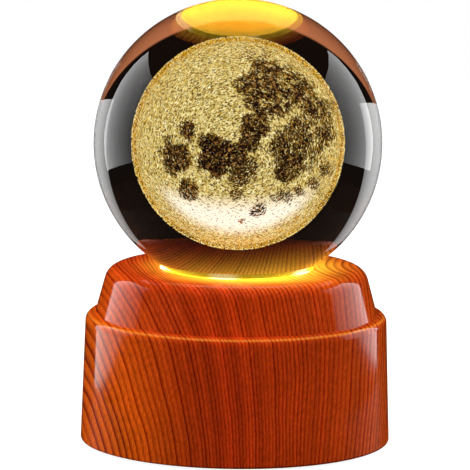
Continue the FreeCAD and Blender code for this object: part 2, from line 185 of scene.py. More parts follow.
def past_edges(tree, place, middle_mm, half_mm):
    """0 inside a rectangle of the floor and 1 outside it."""
    aside = add(tree, "VectorMath", {0: place, 1: middle_mm}, operation="SUBTRACT").outputs[0]
    distance = add(tree, "VectorMath", {0: aside}, operation="ABSOLUTE").outputs[0]
    shares = add(tree, "VectorMath", {0: distance, 1: half_mm}, operation="DIVIDE").outputs[0]
    sides = add(tree, "SeparateXYZ", {"Vector": shares}).outputs
    farthest = add(tree, "Math", {0: sides["X"], 1: sides["Y"]}, operation="MAXIMUM").outputs[0]
    return add(tree, "MapRange", {
        "Value": farthest, "From Min": 1.0, "From Max": 1.0 + edge_softness,
    }).outputs["Result"]


# Painted warm light: brown round the lamp and dark beyond, for rays through the glass.
past_painted_pool = past_edges(tree, place, painted_pool_middle_mm, painted_pool_half_mm)
painted_pool_tone = add(tree, "Mix", {
    "Factor": past_painted_pool, "A": linear(painted_pool_brown), "B": linear(table_dark),
}, data_type="RGBA").outputs["Result"]
matt_top = add(tree, "BsdfPrincipled", {
    "Base Color": painted_pool_tone, "Roughness": 0.9, "Specular IOR Level": 0.0,
}).outputs[0]
polished_top = add(tree, "BsdfPrincipled", {
    "Base Color": linear(table_dark), "Roughness": 0.5, "Specular IOR Level": 0.15,
}).outputs[0]
nothing = add(tree, "BsdfTransparent").outputs[0]
past_table = past_edges(tree, place, table_middle_mm, table_half_mm)
off_lacquer = add(tree, "MixShader", {0: past_table, 1: polished_top, 2: nothing}).outputs[0]
through_glass = rays["Is Transmission Ray"]
table_top = add(tree, "MixShader", {0: through_glass, 1: off_lacquer, 2: matt_top}).outputs[0]
bent = add(tree, "Math", {0: through_glass, 1: rays["Is Glossy Ray"]}, operation="MAXIMUM").outputs[0]
surface = add(tree, "MixShader", {0: bent, 1: shader.outputs[0], 2: table_top}).outputs[0]
tree.links.new(surface, tree.nodes["Material Output"].inputs["Surface"])
floor_mesh.materials.append(paper)
print("floor:", floor_size, "m wide")

# %% [markdown]
# ## World
# Outside the floor it is the same: the camera finds white, while glass and lacquer find the dark of the
# studio.

# %% World
studio_dark = "#120D0A"

world = bpy.data.worlds.new("studio")
scene.world = world
world.use_nodes = True
tree = world.node_tree
rays = add(tree, "LightPath").outputs
backdrop = add(tree, "Mix", {
    "Factor": rays["Is Camera Ray"], "A": linear(studio_dark), "B": linear("#FFFFFF"),
}, data_type="RGBA").outputs["Result"]
tree.links.new(backdrop, tree.nodes["Background"].inputs["Color"])
print("world:", world.name)

# %% [markdown]
# ## Lamps
# Two tall softboxes stand beside the lamp and make the grey crescents in the glass. Each has a double
# that only lacquer sees and that makes the pale bands on the wood: it stands farther off, reaches below
# the table and leans, so that the bands end and slant as they do in the photograph. All four fade towards
# one edge, as a softbox does that is lit from one side. Large lamps in front, at the sides and above
# light the wood evenly. A softbox is an area lamp, and its power follows from how bright its face should
# look, so that a bigger one isn't a brighter one. Ray visibility says which kinds of ray see it. Sizes
# and places are in millimetres.

# %% Lamps
in_glass = ["diffuse", "transmission"]
on_lacquer = ["glossy"]
on_matt = ["diffuse"]
base_middle = (0, 0, 30)


def softbox(name, size, place, aim, face_brightness, sees, fade=(1.0, 1.0), lean=0.0):
    """Rectangular lamp that faces a point, for the kinds of ray named. A fade dims one end of its width."""
    lamp = bpy.data.lights.new(name, "AREA")
    lamp.shape = "RECTANGLE"
    lamp.size = size[0] * MM
    lamp.size_y = size[1] * MM
    lamp.energy = face_brightness * math.pi * lamp.size * lamp.size_y
    holder = bpy.data.objects.new(name, lamp)
    scene.collection.objects.link(holder)
    holder.location = Vector(place) * MM
    towards = Vector(aim) * MM - holder.location
    holder.rotation_euler = towards.to_track_quat("-Z", "Y").to_euler()
    holder.rotation_euler.rotate_axis("Z", math.radians(lean))
    for kind in ("diffuse", "glossy", "transmission"):
        setattr(holder, "visible_" + kind, kind in sees)
    holder.visible_camera = False
    lamp.use_nodes = True
    tree = lamp.node_tree
    across = add(tree, "NewGeometry").outputs["Parametric"]
    along = add(tree, "SeparateXYZ", {"Vector": across}).outputs["X"]
    share = add(tree, "MapRange", {"Value": along, "To Min": fade[0], "To Max": fade[1]}).outputs["Result"]
    tree.links.new(share, tree.nodes["Emission"].inputs["Strength"])


def upright_softbox(name, start, end, bottom, top, face_brightness, sees, fade, lean=0.0):
    """Upright softbox that faces the lamp, between two points named anticlockwise as seen from above."""
    height = (bottom + top) / 2
    start = Vector((*start, height))
    end = Vector((*end, height))
    inward = Vector((0, 0, 1)).cross(end - start)
    middle = (start + end) / 2
    size = ((end - start).length, top - bottom)
    softbox(name, size, middle, middle + inward, face_brightness, sees, fade, lean)


upright_softbox("softbox_left", (-128, 134), (-215, 10), 0, 205, 2.4, in_glass, (0.1, 1.0))
upright_softbox("softbox_right", (215, 10), (132, 122), 0, 205, 2.4, in_glass, (1.0, 0.1))
upright_softbox("softbox_left_mirrored", (-378, 342), (-528, -20), -53, 407, 2.8, on_lacquer, (1.0, 0.1), 5)
upright_softbox("softbox_right_mirrored", (525, -3), (365, 362), -45, 411, 2.8, on_lacquer, (0.25, 1.0), -5)
softbox("key_left", (600, 600), (-850, -450, 400), base_middle, 2.9, on_matt)
softbox("key_right", (600, 600), (850, -450, 400), base_middle, 3.2, on_matt)
softbox("side_left", (500, 500), (-800, 100, 250), base_middle, 1.9, on_matt)
softbox("side_right", (500, 500), (800, 100, 250), base_middle, 2.3, on_matt)
softbox("top_fill", (1400, 1400), (0, 0, 900), base_middle, 3.0, on_matt)

# %% [markdown]
# ## Glass ball
# The ball is one solid piece of polished optical glass. The CAD node leaves the engraved zone out, so its
# inner wall would bend light a second time. A closed sphere with no inner wall is what the light really
# meets, so a finely divided icosphere stands for the node: its triangles are all about the same size,
# which keeps the refraction even.

# %% Glass ball
ball_low, ball_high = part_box("crystal_ball")
ball_middle = (ball_low + ball_high) / 2
ball_radius = (ball_high.z - ball_low.z) / 2
glass_ior = 1.5168
melt_mm = 9.0


def fine_sphere(name, radius, material):
    """Evenly divided smooth sphere round the middle of the ball."""
    mesh = bpy.data.meshes.new(name)
    shape = bmesh.new()
    bmesh.ops.create_icosphere(shape, subdivisions=7, radius=radius)
    for face in shape.faces:
        face.smooth = True
    shape.to_mesh(mesh)
    shape.free()
    mesh.materials.append(material)
    sphere = bpy.data.objects.new(name, mesh)
    sphere.location = ball_middle
    scene.collection.objects.link(sphere)
    return sphere


# Polished crown glass: no colour of its own, mirror-smooth, and bends light as borosilicate crown does.
glass, tree, shader, place = new_material("Polished crown glass")
shader.inputs["Transmission Weight"].default_value = 1.0
shader.inputs["Roughness"].default_value = 0.0
shader.inputs["IOR"].default_value = glass_ior
melt = add(tree, "TexNoise", {"Vector": place, "Scale": 1 / melt_mm, "Detail": 2.0}).outputs["Fac"]
tint = add(tree, "ValToRGB", {"Fac": melt}, [(0.3, "#FCFDFC"), (0.7, "#FFFFFF")]).outputs["Color"]
tree.links.new(tint, shader.inputs["Base Color"])

glass_ball = fine_sphere("glass_ball", ball_radius, glass)
glass_ball.visible_shadow = False
glass_ball.visible_diffuse = False
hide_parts("crystal_ball")
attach(glass_ball, "ball")
print("glass ball faces:", len(glass_ball.data.polygons))

# %% [markdown]
# ## Where the moon is seen
# The glass magnifies the moon by its refractive index and shows more than half of it. To place a dark
# plain where the photograph shows it, a sight line is followed into the ball: it bends on entry, then
# meets the small moon in the middle. The steps below link how far off the ball's middle a sight line
# passes to the angle that it reaches on the moon. The moon has a painted core and a cloud of flakes
# around it.

# %% Sight lines through the ball
moon_low, moon_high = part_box("engraved_moon")
moon_mm = (moon_high.z - moon_low.z) / 2 / MM
ball_mm = ball_radius / MM
cloud_depth = 0.75
core_mm = moon_mm - cloud_depth

sight_steps = np.linspace(0, glass_ior * core_mm, 200)
bend_on_entry = np.arcsin(sight_steps / ball_mm) - np.arcsin(sight_steps / ball_mm / glass_ior)
moon_angle_steps = np.arcsin(np.minimum(1, sight_steps / glass_ior / core_mm)) + bend_on_entry
moon_edge_angle = moon_angle_steps[-1]


def seen_place(directions):
    """Where points of the moon appear, in mm right of and above the ball's middle, and their angle."""
    towards_camera = -np.array(forward)
    angle = np.arccos(np.clip(directions @ towards_camera, -1, 1))
    across = np.stack([directions @ np.array(view_right), directions @ np.array(view_up)], axis=1)
    across /= np.maximum(np.linalg.norm(across, axis=1, keepdims=True), 1e-9)
    sight = np.interp(angle, moon_angle_steps, sight_steps)
    sight += np.maximum(0, angle - moon_edge_angle) * core_mm
    return across * sight[:, None], angle


seen_width = 2 * glass_ior * moon_mm
print(f"the moon is seen {seen_width:.1f} mm wide, round to {math.degrees(moon_edge_angle):.0f} degrees")

# %% [markdown]
# ## Dark plains of the moon
# The engraving is dense where the moon is bright and sparse over its dark plains. The plains are written
# as round patches, each with its place and radius as seen in the ball and with how dark it is, and a few
# small bright lands lie on top of them. Noise frays all their edges, because real shores aren't round,
# and strews bright streaks over the plains at the upper right. It is drawn out along the strokes of the
# laser, which run round the front-to-back axis. The far side, which the photograph doesn't show, gets
# plains from noise alone.

# %% Density of the engraving
dark_plains = [
    (1.8, 11.6, 2.4, 0.9), (4.6, 14.4, 2.2, 0.8), (7.4, 15.0, 1.6, 0.7), (9.1, 12.8, 3.2, 0.65),
    (11.9, 11.6, 2.8, 0.75), (13.9, 10.4, 2.4, 0.7), (5.8, 10.8, 3.2, 0.9), (3.0, 8.7, 2.0, 0.9),
    (7.9, 8.7, 2.4, 0.85), (10.7, 8.7, 2.0, 0.8), (3.8, 7.1, 1.2, 0.9), (8.7, 6.7, 2.0, 0.75),
    (5.4, 5.1, 2.0, 0.85), (2.6, 3.9, 1.8, 0.85), (5.2, 2.2, 1.6, 0.9), (2.2, -0.2, 2.2, 0.9),
    (0.2, -1.0, 1.2, 0.8), (3.4, 1.4, 1.6, 0.8), (11.1, -0.2, 4.5, 0.66), (13.5, -2.6, 3.6, 0.54),
    (10.7, -4.6, 3.2, 0.62), (8.3, -1.4, 2.4, 0.64), (15.2, 0.6, 3.2, 0.52), (16.8, 3.9, 2.8, 0.54),
    (16.0, 7.1, 2.4, 0.65), (12.7, 3.9, 2.0, 0.7), (18.0, 7.1, 2.0, 0.6), (18.4, 1.4, 2.0, 0.7),
    (9.5, -6.7, 2.0, 0.8), (17.8, -5.2, 1.6, 0.75), (15.2, -8.3, 1.2, 0.75), (12.7, -9.9, 1.4, 0.75),
    (9.9, -11.1, 1.4, 0.7), (7.9, -11.5, 1.0, 0.5), (-3.9, -2.6, 3.4, 0.95), (-5.9, -3.8, 2.4, 0.9),
    (-1.9, -1.8, 1.6, 0.9), (-6.7, 0.2, 1.4, 0.85), (-3.9, -5.5, 2.0, 0.85), (-7.3, -4.6, 1.4, 0.85),
    (0.6, -5.5, 3.0, 0.5), (-0.6, -7.5, 2.0, 0.4), (2.2, -4.6, 2.0, 0.45), (0.6, -2.6, 1.6, 0.6),
    (-12.0, -3.0, 2.8, 0.85), (-13.6, -5.0, 1.6, 0.7), (-10.4, 2.2, 1.8, 0.9), (-14.4, 0.6, 1.0, 0.6),
    (-15.6, -1.8, 1.2, 0.5), (-10.0, -9.9, 2.2, 0.8), (-0.6, -10.9, 1.4, 0.6), (4.2, -13.8, 1.5, 0.8),
    (-1.9, -15.8, 0.5, 0.8), (0.6, -16.4, 0.5, 0.8), (2.4, 18.2, 1.2, 0.35), (5.6, 18.0, 1.2, 0.35),
    (14.6, 7.4, 2.0, 0.85),
]
bright_lands = [
    (-9.4, -1.4, 0.9), (-9.2, -3.6, 0.8), (8.6, 3.6, 1.5), (10.2, 4.8, 1.0), (6.9, 2.6, 0.9),
    (11.6, 7.0, 0.7), (12.3, 5.8, 0.7), (6.2, -3.2, 1.2), (5.8, -6.0, 1.3), (17.0, -3.4, 0.7),
    (16.2, -5.4, 0.8), (14.4, -6.9, 0.9), (12.2, -8.3, 0.9),
]
shore_softness = 0.6
shore_waves = ((2.6, 0.8), (0.9, 0.6), (0.35, 0.5))
land_fray = 0.6
land_brightness = 0.9
stroke_stretch = 1.5
streak_size = 0.9
streak_start = 0.14
streak_sharpness = 6
streak_share = 0.7
streak_fade = 14.0
far_plain_size = 4.5
far_plain_start = 0.22
far_plain_sharpness = 4
far_plain_fray = 0.5
far_plain_darkness = 0.85
far_blend = 0.15


def noise_at(points, wavelength):
    """Smooth noise from -1 to 1 at points in mm."""
    return np.array([noise.noise(Vector(p) / wavelength) for p in points])


def along_strokes(points):
    """Points in mm, drawn together along the strokes of the laser."""
    tilt = np.arctan2(np.hypot(points[:, 0], points[:, 2]), points[:, 1])
    return np.stack([points[:, 0] / stroke_stretch, tilt * moon_mm, points[:, 2] / stroke_stretch], axis=1)


def inside_patch(seen, x, y, radius):
    """1 inside a round patch, 0 outside it, and soft at its shore."""
    return np.clip((radius - np.hypot(seen[:, 0] - x, seen[:, 1] - y)) / shore_softness + 0.5, 0, 1)


def engraving_density(directions):
    """Share of the surface that the laser has marked, from 0 to 1, for directions from the moon's middle."""
    points = directions * moon_mm
    seen, angle = seen_place(directions)
    strokes = along_strokes(points)
    fray = sum(height * noise_at(strokes, wavelength) for wavelength, height in shore_waves)
    bright = np.ones(len(points))
    for x, y, radius, darkness in dark_plains:
        bright *= 1 - darkness * inside_patch(seen, x, y, radius + fray)
    for x, y, radius in bright_lands:
        bright = np.maximum(bright, land_brightness * inside_patch(seen, x, y, radius + land_fray * fray))
    streaks = np.clip((noise_at(strokes, streak_size) - streak_start) * streak_sharpness, 0, 1)
    upper_right = np.clip((seen[:, 0] + seen[:, 1]) / streak_fade, 0, 1)
    bright = bright + (1 - bright) * streak_share * streaks * upper_right
    far_noise = noise_at(points, far_plain_size) - far_plain_start
    far_plains = np.clip(far_noise * far_plain_sharpness + far_plain_fray * fray, 0, 1)
    far_share = np.clip((angle - moon_edge_angle) / far_blend + 0.5, 0, 1)
    return bright * (1 - far_share) + (1 - far_plain_darkness * far_plains) * far_share


print("dark plains:", len(dark_plains), "bright lands:", len(bright_lands))

# %% [markdown]
# ## White light on the moon
# The engraving is golden, but it shines nearly white low on its front, where it faces the LEDs. The
# photograph shows a crescent there: its upper edge is a shallow bow, and it ends a little inside the
# moon's rim.

# %% White light on the moon
white_start = -12.6
white_bow = 88
white_softness = 3.6
white_end = 18.4
white_end_softness = 2.0


def lit_from_below(directions):
    """Share of white light, from 0 to 1, for directions from the moon's middle."""
    seen = seen_place(directions)[0]
    below = (white_start + seen[:, 0] ** 2 / white_bow - seen[:, 1]) / white_softness + 0.5
    within = (white_end - np.hypot(seen[:, 0], seen[:, 1])) / white_end_softness + 0.5
    return np.clip(below, 0, 1) * np.clip(within, 0, 1)


print(f"the white light is seen from {-white_start} mm below the middle of the ball")

# %% [markdown]
# ## Engraved moon: core
# On the real piece a laser has struck thousands of tiny cracks into the glass. The LEDs below light them, so
# each one shines. That light is painted as emission, which gives the marks and the dark plains between them
# their colour. The fine ones are drawn by a shader on a core sphere, from noise that is cut off at the
# density painted on its points. The noise lies in rows round the front-to-back axis, so that the marks look
# like short strokes. Real marks are about 0.1 mm wide. They are drawn coarser, so that they show.

# %% Engraved moon: core
stroke_width = 0.27
stroke_length = 0.42
sparse_cut = 0.32
dense_cut = 0.53
white_cut = 0.08
mark_edge = 0.035
blotch_mm = 0.7
mottle_mm = 0.55

# Laser-struck glass: matt cracks in clear glass. The warm LED light on them is painted as emission, golden,
# and whiter where they face the LEDs.
engraving, tree, shader, place = new_material("Laser-engraved glass, lit warm")
density = add(tree, "Attribute", attribute_name="engraving").outputs["Fac"]
across_axis = add(tree, "VectorMath", {0: place, 1: (1, 0, 1)}, operation="MULTIPLY").outputs[0]
off_axis = add(tree, "VectorMath", {0: across_axis}, operation="LENGTH").outputs["Value"]
along_axis = add(tree, "SeparateXYZ", {"Vector": place}).outputs["Y"]
tilt = add(tree, "Math", {0: off_axis, 1: along_axis}, operation="ARCTAN2").outputs[0]
stroke_row = add(tree, "Math", {0: tilt, 1: core_mm / stroke_width}, operation="MULTIPLY").outputs[0]
stroke_rows = add(tree, "CombineXYZ", {"Y": stroke_row}).outputs[0]
stroke_place = add(tree, "VectorMath", {
    0: across_axis, 1: [1 / stroke_length] * 3, 2: stroke_rows,
}, operation="MULTIPLY_ADD").outputs[0]
grain = add(tree, "TexNoise", {
    "Vector": stroke_place, "Scale": 1.0, "Detail": 2.0, "Roughness": 0.65,
}).outputs["Fac"]
cut = add(tree, "MapRange", {"Value": density, "To Min": sparse_cut, "To Max": dense_cut}).outputs["Result"]
white_patch = add(tree, "Attribute", attribute_name="lit_from_below").outputs["Fac"]
denser = add(tree, "Math", {0: white_patch, 1: white_cut, 2: cut}, operation="MULTIPLY_ADD").outputs[0]
excess = add(tree, "Math", {0: denser, 1: grain}, operation="SUBTRACT").outputs[0]
marked = add(tree, "MapRange", {
    "Value": excess, "From Min": -mark_edge, "From Max": mark_edge,
}).outputs["Result"]
blotch = add(tree, "TexNoise", {
    "Vector": place, "Scale": 1 / blotch_mm, "Detail": 3.0, "Roughness": 0.6,
}).outputs["Fac"]
gold = add(tree, "ValToRGB", {"Fac": blotch}, [
    (0.3, "#A8984A"), (0.5, "#D2C27A"), (0.7, "#F6F0BC"),
]).outputs["Color"]
lit = add(tree, "Mix", {
    "Factor": white_patch, "A": gold, "B": linear("#F8EED8"),
}, data_type="RGBA").outputs["Result"]
mottle = add(tree, "TexNoise", {
    "Vector": place, "Scale": 1 / mottle_mm, "Detail": 2.0, "Roughness": 0.7,
}).outputs["Fac"]
plain_tone = add(tree, "ValToRGB", {"Fac": mottle}, [
    (0.42, "#060202"), (0.55, "#201008"), (0.69, "#7C5828"),
]).outputs["Color"]
clear = add(tree, "Mix", {
    "Factor": density, "A": plain_tone, "B": linear("#3E2C10"),
}, data_type="RGBA").outputs["Result"]
# Painted LED light: the emission colour of the marks and of the plains between them.
look = add(tree, "Mix", {"Factor": marked, "A": clear, "B": lit}, data_type="RGBA").outputs["Result"]
tree.links.new(look, shader.inputs["Emission Color"])
shader.inputs["Emission Strength"].default_value = 1.22
tree.links.new(clear, shader.inputs["Base Color"])
shader.inputs["Roughness"].default_value = 0.9
shader.inputs["Specular IOR Level"].default_value = 0.0
engraving.cycles.emission_sampling = "NONE"

moon_core = fine_sphere("moon_core", core_mm * MM, engraving)
core_points = np.zeros(len(moon_core.data.vertices) * 3)
moon_core.data.vertices.foreach_get("co", core_points)
core_points = core_points.reshape(-1, 3)
core_directions = core_points / np.linalg.norm(core_points, axis=1, keepdims=True)
for name, paint in (("engraving", engraving_density), ("lit_from_below", lit_from_below)):
    layer = moon_core.data.attributes.new(name, "FLOAT", "POINT")
    layer.data.foreach_set("value", paint(core_directions).astype(np.float32))
print(f"moon core: {len(core_points)} painted points")

# %% [markdown]
# ## Engraved moon: flakes
# Larger cracks are real little flakes around the core, so the engraving has depth and thickens towards
# the rim, where more flakes lie behind each other. They lie in two layers: a thin outer shell of larger,
# pale ones that draws the rim, and a deeper cloud of golden ones. Each flake is a tetrahedron, stretched
# and turned at random, and a flake is kept by the same density that is painted on the core.

# %% Engraved moon: shapes of the flakes
flake_count = 58000
flake_size = 0.095
flake_stretch = (0.6, 1.5)
pale_flake_size = 0.12
pale_share = 0.24
pale_shell = 0.08
stray_chance = 0.035

random = np.random.RandomState(5)
directions = random.normal(size=(flake_count, 3))
directions /= np.linalg.norm(directions, axis=1, keepdims=True)
chance = stray_chance + (1 - stray_chance) * engraving_density(directions)
directions = directions[random.uniform(size=flake_count) < chance]

corners = np.array([(1, 1, 1), (1, -1, -1), (-1, 1, -1), (-1, -1, 1)]) / math.sqrt(3)
sides = [(0, 1, 2), (0, 3, 1), (0, 2, 3), (1, 3, 2)]
depth_share = random.uniform(size=len(directions))
pale = depth_share < pale_share
sunk = np.interp(depth_share, (0, pale_share, 1), (0, pale_shell, cloud_depth - pale_flake_size))
from_middle = moon_mm - pale_flake_size - sunk
largest = np.where(pale, pale_flake_size, flake_size)[:, None, None]
sizes = largest * random.uniform(*flake_stretch, size=(len(directions), 1, 3)) / flake_stretch[1]
turns = np.linalg.qr(random.normal(size=(len(directions), 3, 3)))[0]
turns *= np.sign(np.linalg.det(turns))[:, None, None]
flake_points = (corners[None] * sizes) @ turns + (directions * from_middle[:, None])[:, None]
flake_faces = [[4 * i + corner for corner in side] for i in range(len(directions)) for side in sides]
print("moon flakes:", len(directions))

# %% [markdown]
# ## Engraved moon: finish of the flakes
# Every flake is an island of the mesh, so the shader can give each one its own brightness: brown to golden in
# the cloud, pale in the outer shell. This brightness is the LED light that the flakes scatter, painted as
# emission. The pale outer shell is painted brighter so that it draws a pale rim. Flakes that face the LEDs
# are whiter, as the marks on the core are.

# %% Engraved moon: finish of the flakes
pale_gain = 0.8
underside_share = 0.03

# The same struck glass on single cracks: the LED light on each flake is painted as emission, with its own
# brightness from brown to pale gold.
flake_glass, tree, shader, place = new_material("Laser-struck flakes, lit warm")
own_shine = add(tree, "NewGeometry").outputs["Random Per Island"]
outermost = add(tree, "Attribute", attribute_name="outermost").outputs["Fac"]
shine = add(tree, "Math", {0: outermost, 1: pale_gain, 2: own_shine}, operation="MULTIPLY_ADD").outputs[0]
shine_share = add(tree, "Math", {0: shine, 1: 1 / (1 + pale_gain)}, operation="MULTIPLY").outputs[0]
flake_gold = add(tree, "ValToRGB", {"Fac": shine_share}, [
    (0.0, "#3A2202"), (0.22, "#C08610"), (0.5, "#EAAA16"), (0.6, "#F4C640"),
    (0.75, "#FFE07C"), (1.0, "#FFF2C0"),
]).outputs["Color"]
flake_white = add(tree, "Attribute", attribute_name="lit_from_below").outputs["Fac"]
flake_tone = add(tree, "Mix", {
    "Factor": flake_white, "A": flake_gold, "B": linear("#FFF8E4"),
}, data_type="RGBA").outputs["Result"]
tree.links.new(flake_tone, shader.inputs["Emission Color"])
shader.inputs["Base Color"].default_value = linear("#140F06")
shader.inputs["Emission Strength"].default_value = 1.1
shader.inputs["Roughness"].default_value = 0.8
shader.inputs["Specular IOR Level"].default_value = 0.0
flake_glass.cycles.emission_sampling = "NONE"

flake_mesh = bpy.data.meshes.new("moon_flakes")
flake_mesh.from_pydata((flake_points.reshape(-1, 3) * MM).tolist(), [], flake_faces)
flake_mesh.materials.append(flake_glass)
near_leds = np.maximum(lit_from_below(directions), underside_share * np.clip(-directions[:, 2], 0, 1))
for name, shares in (("lit_from_below", near_leds), ("outermost", pale)):
    layer = flake_mesh.attributes.new(name, "FLOAT", "POINT")
    layer.data.foreach_set("value", np.repeat(shares, len(corners)).astype(np.float32))
moon_flakes = bpy.data.objects.new("moon_flakes", flake_mesh)
moon_flakes.location = ball_middle
scene.collection.objects.link(moon_flakes)

for piece in (moon_core, moon_flakes):
    piece.visible_shadow = False
    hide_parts("engraved_moon")
    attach(piece, "ball")
print("flake faces:", len(flake_mesh.polygons))

# %% [markdown]
# ## Wood: growth rings
# The base is turned from one block of softwood, stained red and finished with gloss lacquer. A turned
# piece cuts through the tree's growth rings, so the rings belong in the volume and not on the surface:
# the shader measures how far each point is from the pith, the middle of the tree, which here ran outside
# the block and leaned. Each year gives a pale band that darkens towards autumn and ends sharply. Rings
# drawn this way run on over the step and the top, as they do on the real base.

# %% Wood: growth rings
pith_place = (37.0, -1.57, 15.0)
pith_lean = (-0.2611, 0.1595, 0.0)
ring_flatness = (1.0, 1.2855, 1.0)
trunk_taper = 0.0086
rings_per_mm = 1.05
ring_swell = 3.0
ring_swell_rate = 0.11
ring_swell_start = 1.333
sway_mm = 14.0
sway_reach = 1.2
faintest_year = 0.45

# Stained softwood: dark red lines on warm orange-brown, deep and glassy under the lacquer.
wood, tree, shader, place = new_material("Red-stained softwood under gloss lacquer")
sway = add(tree, "TexNoise", {"Vector": place, "Scale": 1 / sway_mm, "Detail": 1.0}).outputs["Color"]
swayed = add(tree, "VectorMath", {
    0: sway, 1: [sway_reach] * 3, 2: place,
}, operation="MULTIPLY_ADD").outputs[0]
in_tree = add(tree, "Mapping", {
    "Vector": swayed, "Location": pith_place, "Rotation": pith_lean, "Scale": ring_flatness,
}, vector_type="TEXTURE").outputs[0]
sideways = add(tree, "VectorMath", {0: in_tree, 1: (1, 1, 0)}, operation="MULTIPLY").outputs[0]
from_pith = add(tree, "VectorMath", {0: sideways}, operation="LENGTH").outputs["Value"]
up_trunk = add(tree, "SeparateXYZ", {"Vector": in_tree}).outputs["Z"]
taper = add(tree, "Math", {0: up_trunk, 1: -trunk_taper, 2: 1.0}, operation="MULTIPLY_ADD").outputs[0]
growth = add(tree, "Math", {0: from_pith, 1: taper}, operation="MULTIPLY").outputs[0]
swell_angle = add(tree, "Math", {
    0: growth, 1: ring_swell_rate, 2: ring_swell_start,
}, operation="MULTIPLY_ADD").outputs[0]
swell_wave = add(tree, "Math", {0: swell_angle}, operation="SINE").outputs[0]
swell = add(tree, "Math", {0: swell_wave, 1: ring_swell}, operation="MULTIPLY").outputs[0]
years = add(tree, "Math", {0: growth, 1: rings_per_mm, 2: swell}, operation="MULTIPLY_ADD").outputs[0]
season = add(tree, "Math", {0: years}, operation="FRACT").outputs[0]
year = add(tree, "Math", {0: years}, operation="FLOOR").outputs[0]
summer_to_autumn = add(tree, "ValToRGB", {"Fac": season}, [
    (0.0, "#000000"), (0.35, "#202020"), (0.72, "#E0E0E0"), (0.88, "#FFFFFF"), (1.0, "#101010"),
]).outputs["Color"]
year_weight = add(tree, "TexWhiteNoise", {"W": year}, noise_dimensions="1D").outputs["Value"]
weight = add(tree, "MapRange", {"Value": year_weight, "To Min": faintest_year}).outputs["Result"]
latewood = add(tree, "Math", {0: summer_to_autumn, 1: weight}, operation="MULTIPLY").outputs[0]
print(f"growth rings about {1 / rings_per_mm:.2f} mm apart")

# %% [markdown]
# ## Wood: stain and fibres
# Under the stain the late wood of each year is dark red and the early wood between is orange-brown, in a
# tone that drifts from the pith to the bark. Broad clouds, darker decades and short fibres vary it. Real
# fibres are finer than 0.1 mm. They are drawn coarser, so that they show.

# %% Wood: stain and fibres
fibre_width = 0.36
fibre_length = 1.2
cloud_mm = 16.0
decade_rate = 0.3
trunk_mm = 80

zone = add(tree, "Math", {0: growth, 1: 1 / trunk_mm}, operation="MULTIPLY").outputs[0]
early = add(tree, "ValToRGB", {"Fac": zone}, [
    (0.0, "#B4480E"), (0.18, "#9C380C"), (0.32, "#98320A"), (0.45, "#A6340A"), (0.6, "#A6300A"),
    (0.7, "#A4340A"), (0.88, "#C4520C"),
]).outputs["Color"]
grained = add(tree, "Mix", {
    "Factor": latewood, "A": early, "B": linear("#620400"),
}, data_type="RGBA").outputs["Result"]
fibre_rate = (1 / fibre_width, 1 / fibre_width, 1 / fibre_length)
fibre_place = add(tree, "VectorMath", {0: in_tree, 1: fibre_rate}, operation="MULTIPLY").outputs[0]
fibre = add(tree, "TexNoise", {
    "Vector": fibre_place, "Scale": 1.0, "Detail": 4.0, "Roughness": 0.7,
}).outputs["Fac"]
cloud = add(tree, "TexNoise", {"Vector": place, "Scale": 1 / cloud_mm, "Detail": 2.0}).outputs["Fac"]
decade = add(tree, "TexNoise", {
    "W": years, "Scale": decade_rate, "Detail": 2.0,
}, noise_dimensions="1D").outputs["Fac"]
for pattern, darkest, brightest in ((fibre, 0.78, 1.67), (cloud, 0.9, 1.1), (decade, 0.8, 1.15)):
    share = add(tree, "MapRange", {
        "Value": pattern, "From Min": 0.3, "From Max": 0.7, "To Min": darkest, "To Max": brightest,
    }).outputs["Result"]
    grained = add(tree, "VectorMath", {0: grained, "Scale": share}, operation="SCALE").outputs[0]
print(f"fibres drawn {fibre_width} mm wide")

# %% [markdown]
# ## Wood: rim and lacquer
# A fine golden line along the rim of the lower tier is a painted highlight, where the rounded edge would
# catch light, and it is paler on the early wood. Over everything lies gloss lacquer, which is the shader's
# clear coat. The wood under it has a faint relief from its fibres, and the coat stays smooth, so that it
# mirrors the softboxes.

# %% Wood: rim and lacquer
rim_radius_mm = 30.9
rim_height_mm = 26.8
rim_line_mm = 0.42
rim_full_mm = 0.15
rim_highlight_strength = 0.46
fibre_relief_mm = 0.03

around = add(tree, "VectorMath", {0: place, 1: (1, 1, 0)}, operation="MULTIPLY").outputs[0]
from_axis = add(tree, "VectorMath", {0: around}, operation="LENGTH").outputs["Value"]
wood_sides = add(tree, "SeparateXYZ", {"Vector": place}).outputs
profile_spot = add(tree, "CombineXYZ", {"X": from_axis, "Y": wood_sides["Z"]}).outputs[0]
from_rim = add(tree, "VectorMath", {
    0: profile_spot, 1: (rim_radius_mm, rim_height_mm, 0),
}, operation="DISTANCE").outputs["Value"]
# Painted highlight: a fine golden line on the lower tier's rounded rim, mixed into the wood's colour.
painted_rim_highlight = add(tree, "MapRange", {
    "Value": from_rim, "From Min": rim_line_mm, "From Max": rim_full_mm, "To Max": rim_highlight_strength,
}).outputs["Result"]
early_share = add(tree, "Math", {0: latewood, 1: -0.9, 2: 1.1}, operation="MULTIPLY_ADD").outputs[0]
rim_highlight_here = add(tree, "Math", {0: painted_rim_highlight, 1: early_share}, operation="MULTIPLY").outputs[0]
wood_and_rim_highlight = add(tree, "Mix", {
    "Factor": rim_highlight_here, "A": grained, "B": linear("#E88A2C"),
}, data_type="RGBA").outputs["Result"]
tree.links.new(wood_and_rim_highlight, shader.inputs["Base Color"])
relief = add(tree, "Bump", {"Height": fibre, "Strength": 0.15, "Distance": fibre_relief_mm * MM})
tree.links.new(relief.outputs["Normal"], shader.inputs["Normal"])
shader.inputs["Roughness"].default_value = 0.5
shader.inputs["Specular IOR Level"].default_value = 0.0
shader.inputs["Coat Weight"].default_value = 0.85
shader.inputs["Coat Roughness"].default_value = 0.08
print(f"rim line {2 * rim_line_mm} mm wide")

